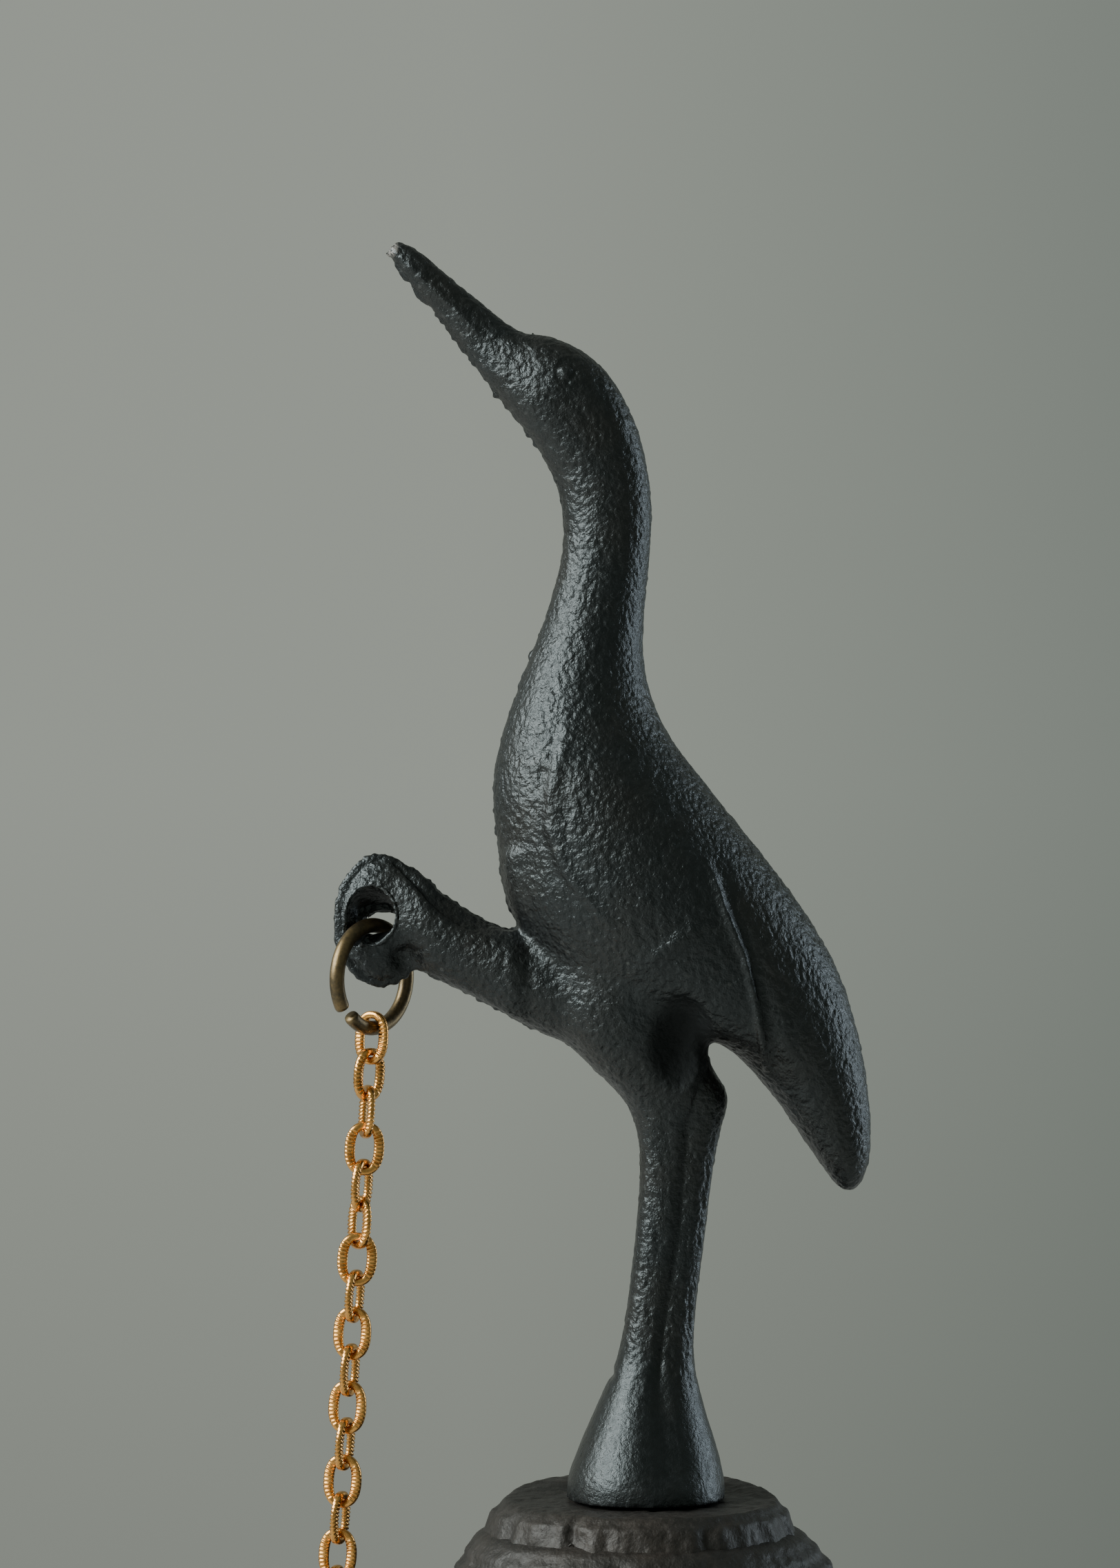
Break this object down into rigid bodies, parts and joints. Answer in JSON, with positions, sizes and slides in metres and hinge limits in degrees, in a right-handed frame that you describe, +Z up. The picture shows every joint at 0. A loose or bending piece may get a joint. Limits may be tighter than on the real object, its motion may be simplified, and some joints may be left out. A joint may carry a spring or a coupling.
{
  "type": "wall mounted bell",
  "caption": "Cast iron bell under a wall bracket, topped by a standing crane that holds a ring, an oval link chain and a hand striker in its raised foot.",
  "frame": {"origin": "centre of the wall plate's back face", "axes": "+Y out of the back face into the wall, +Z up along the bell's axis, the crane looks along -X"},
  "size_m": [0.0957, 0.1017, 0.3254],
  "materials": {
    "black_iron": "black lacquered casting, worn at the edges",
    "brown_iron": "rough brown black casting",
    "steel": "plain turned steel",
    "leather": "undyed harness leather",
    "aged_brass": "aged, olive brown",
    "gold_brass": "bright, polished",
    "dark_wood": "dark oiled hardwood"
  },
  "bodies": {
    "bell": {"crane": "black_iron", "bell_body": "brown_iron", "wall_bracket": "brown_iron", "crane_stud": "steel", "locating_pin": "steel", "top_leather_washer": "leather", "lower_leather_washer": "leather", "steel_washer": "steel", "crown_nut": "steel", "lock_nut": "steel"},
    "ring": {"jump_ring": "aged_brass"},
    "link_01": {"chain_link_01": "gold_brass"},
    "link_02": {"chain_link_02": "gold_brass"},
    "link_03": {"chain_link_03": "gold_brass"},
    "link_04": {"chain_link_04": "gold_brass"},
    "link_05": {"chain_link_05": "gold_brass"},
    "link_06": {"chain_link_06": "gold_brass"},
    "link_07": {"chain_link_07": "gold_brass"},
    "link_08": {"chain_link_08": "gold_brass"},
    "link_09": {"chain_link_09": "gold_brass"},
    "link_10": {"chain_link_10": "gold_brass"},
    "link_11": {"chain_link_11": "gold_brass"},
    "link_12": {"chain_link_12": "gold_brass"},
    "link_13": {"chain_link_13": "gold_brass"},
    "link_14": {"chain_link_14": "gold_brass"},
    "link_15": {"chain_link_15": "gold_brass"},
    "link_16": {"chain_link_16": "gold_brass"},
    "link_17": {"chain_link_17": "gold_brass"},
    "link_18": {"chain_link_18": "gold_brass"},
    "link_19": {"chain_link_19": "gold_brass"},
    "link_20": {"chain_link_20": "gold_brass"},
    "link_21": {"chain_link_21": "gold_brass"},
    "link_22": {"chain_link_22": "gold_brass"},
    "link_23": {"chain_link_23": "gold_brass"},
    "link_24": {"chain_link_24": "gold_brass"},
    "link_25": {"chain_link_25": "gold_brass"},
    "link_26": {"chain_link_26": "gold_brass"},
    "link_27": {"chain_link_27": "gold_brass"},
    "link_28": {"chain_link_28": "gold_brass"},
    "link_29": {"chain_link_29": "gold_brass"},
    "striker": {"striker_rod": "black_iron", "striker_grip": "dark_wood", "striker_ferrule": "aged_brass", "striker_ball": "black_iron"}
  },
  "joints": [
    {"name": "ring_swing", "type": "hinge", "parent": "bell", "child": "ring", "pos_m": [-0.0364, -0.06, 0.1351], "axis": [1, 0, 0], "range_deg": [-5, 2]},
    {"name": "link_01_swing", "type": "hinge", "parent": "ring", "child": "link_01", "pos_m": [-0.0364, -0.06, 0.1213], "axis": [0, 1, 0], "range_deg": [0, 6]},
    {"name": "link_02_swing", "type": "hinge", "parent": "link_01", "child": "link_02", "pos_m": [-0.03669, -0.06, 0.11682], "axis": [1, 0, 0], "range_deg": [-6, 1]},
    {"name": "link_03_swing", "type": "hinge", "parent": "link_02", "child": "link_03", "pos_m": [-0.03702, -0.06, 0.11185], "axis": [1, 0, 0], "range_deg": [-6, 1]},
    {"name": "link_04_swing", "type": "hinge", "parent": "link_03", "child": "link_04", "pos_m": [-0.03735, -0.06, 0.1069], "axis": [0, 1, 0], "range_deg": [0, 6]},
    {"name": "link_05_swing", "type": "hinge", "parent": "link_04", "child": "link_05", "pos_m": [-0.03767, -0.06, 0.10194], "axis": [1, 0, 0], "range_deg": [-6, 1]},
    {"name": "link_06_swing", "type": "hinge", "parent": "link_05", "child": "link_06", "pos_m": [-0.038, -0.06, 0.09698], "axis": [1, 0, 0], "range_deg": [-6, 1]},
    {"name": "link_07_swing", "type": "hinge", "parent": "link_06", "child": "link_07", "pos_m": [-0.03832, -0.06, 0.09202], "axis": [0, 1, 0], "range_deg": [0, 6]},
    {"name": "link_08_swing", "type": "hinge", "parent": "link_07", "child": "link_08", "pos_m": [-0.03865, -0.06, 0.08706], "axis": [1, 0, 0], "range_deg": [-6, 1]},
    {"name": "link_09_swing", "type": "hinge", "parent": "link_08", "child": "link_09", "pos_m": [-0.03898, -0.06, 0.0821], "axis": [0, 1, 0], "range_deg": [0, 6]},
    {"name": "link_10_swing", "type": "hinge", "parent": "link_09", "child": "link_10", "pos_m": [-0.0393, -0.06, 0.07714], "axis": [1, 0, 0], "range_deg": [-6, 1]},
    {"name": "link_11_swing", "type": "hinge", "parent": "link_10", "child": "link_11", "pos_m": [-0.03963, -0.06, 0.07218], "axis": [0, 1, 0], "range_deg": [0, 6]},
    {"name": "link_12_swing", "type": "hinge", "parent": "link_11", "child": "link_12", "pos_m": [-0.03995, -0.06, 0.06722], "axis": [1, 0, 0], "range_deg": [-6, 1]},
    {"name": "link_13_swing", "type": "hinge", "parent": "link_12", "child": "link_13", "pos_m": [-0.04028, -0.06, 0.06226], "axis": [0, 1, 0], "range_deg": [0, 6]},
    {"name": "link_14_swing", "type": "hinge", "parent": "link_13", "child": "link_14", "pos_m": [-0.04061, -0.06, 0.0573], "axis": [1, 0, 0], "range_deg": [-6, 1]},
    {"name": "link_15_swing", "type": "hinge", "parent": "link_14", "child": "link_15", "pos_m": [-0.04093, -0.06, 0.05234], "axis": [0, 1, 0], "range_deg": [0, 6]},
    {"name": "link_16_swing", "type": "hinge", "parent": "link_15", "child": "link_16", "pos_m": [-0.04126, -0.06, 0.04738], "axis": [1, 0, 0], "range_deg": [-6, 1]},
    {"name": "link_17_swing", "type": "hinge", "parent": "link_16", "child": "link_17", "pos_m": [-0.04158, -0.06, 0.04242], "axis": [0, 1, 0], "range_deg": [0, 6]},
    {"name": "link_18_swing", "type": "hinge", "parent": "link_17", "child": "link_18", "pos_m": [-0.04191, -0.06, 0.03747], "axis": [1, 0, 0], "range_deg": [-6, 1]},
    {"name": "link_19_swing", "type": "hinge", "parent": "link_18", "child": "link_19", "pos_m": [-0.04224, -0.06, 0.03251], "axis": [0, 1, 0], "range_deg": [0, 6]},
    {"name": "link_20_swing", "type": "hinge", "parent": "link_19", "child": "link_20", "pos_m": [-0.04256, -0.06, 0.02755], "axis": [1, 0, 0], "range_deg": [-6, 1]},
    {"name": "link_21_swing", "type": "hinge", "parent": "link_20", "child": "link_21", "pos_m": [-0.04289, -0.06, 0.02259], "axis": [0, 1, 0], "range_deg": [0, 6]},
    {"name": "link_22_swing", "type": "hinge", "parent": "link_21", "child": "link_22", "pos_m": [-0.04321, -0.06, 0.01763], "axis": [1, 0, 0], "range_deg": [-6, 1]},
    {"name": "link_23_swing", "type": "hinge", "parent": "link_22", "child": "link_23", "pos_m": [-0.04354, -0.06, 0.01267], "axis": [0, 1, 0], "range_deg": [0, 6]},
    {"name": "link_24_swing", "type": "hinge", "parent": "link_23", "child": "link_24", "pos_m": [-0.04387, -0.06, 0.00771], "axis": [1, 0, 0], "range_deg": [-6, 1]},
    {"name": "link_25_swing", "type": "hinge", "parent": "link_24", "child": "link_25", "pos_m": [-0.04419, -0.06, 0.00275], "axis": [0, 1, 0], "range_deg": [0, 6]},
    {"name": "link_26_swing", "type": "hinge", "parent": "link_25", "child": "link_26", "pos_m": [-0.04452, -0.06, -0.00221], "axis": [1, 0, 0], "range_deg": [-6, 1]},
    {"name": "link_27_swing", "type": "hinge", "parent": "link_26", "child": "link_27", "pos_m": [-0.04484, -0.06, -0.00717], "axis": [0, 1, 0], "range_deg": [0, 6]},
    {"name": "link_28_swing", "type": "hinge", "parent": "link_27", "child": "link_28", "pos_m": [-0.04517, -0.06, -0.01213], "axis": [1, 0, 0], "range_deg": [-6, 1]},
    {"name": "link_29_swing", "type": "hinge", "parent": "link_28", "child": "link_29", "pos_m": [-0.0455, -0.06, -0.01709], "axis": [0, 1, 0], "range_deg": [0, 6]},
    {"name": "striker_swing", "type": "hinge", "parent": "link_29", "child": "striker", "pos_m": [-0.0455, -0.06, -0.02206], "axis": [1, 0, 0], "range_deg": [-30, 2]}
  ]
}
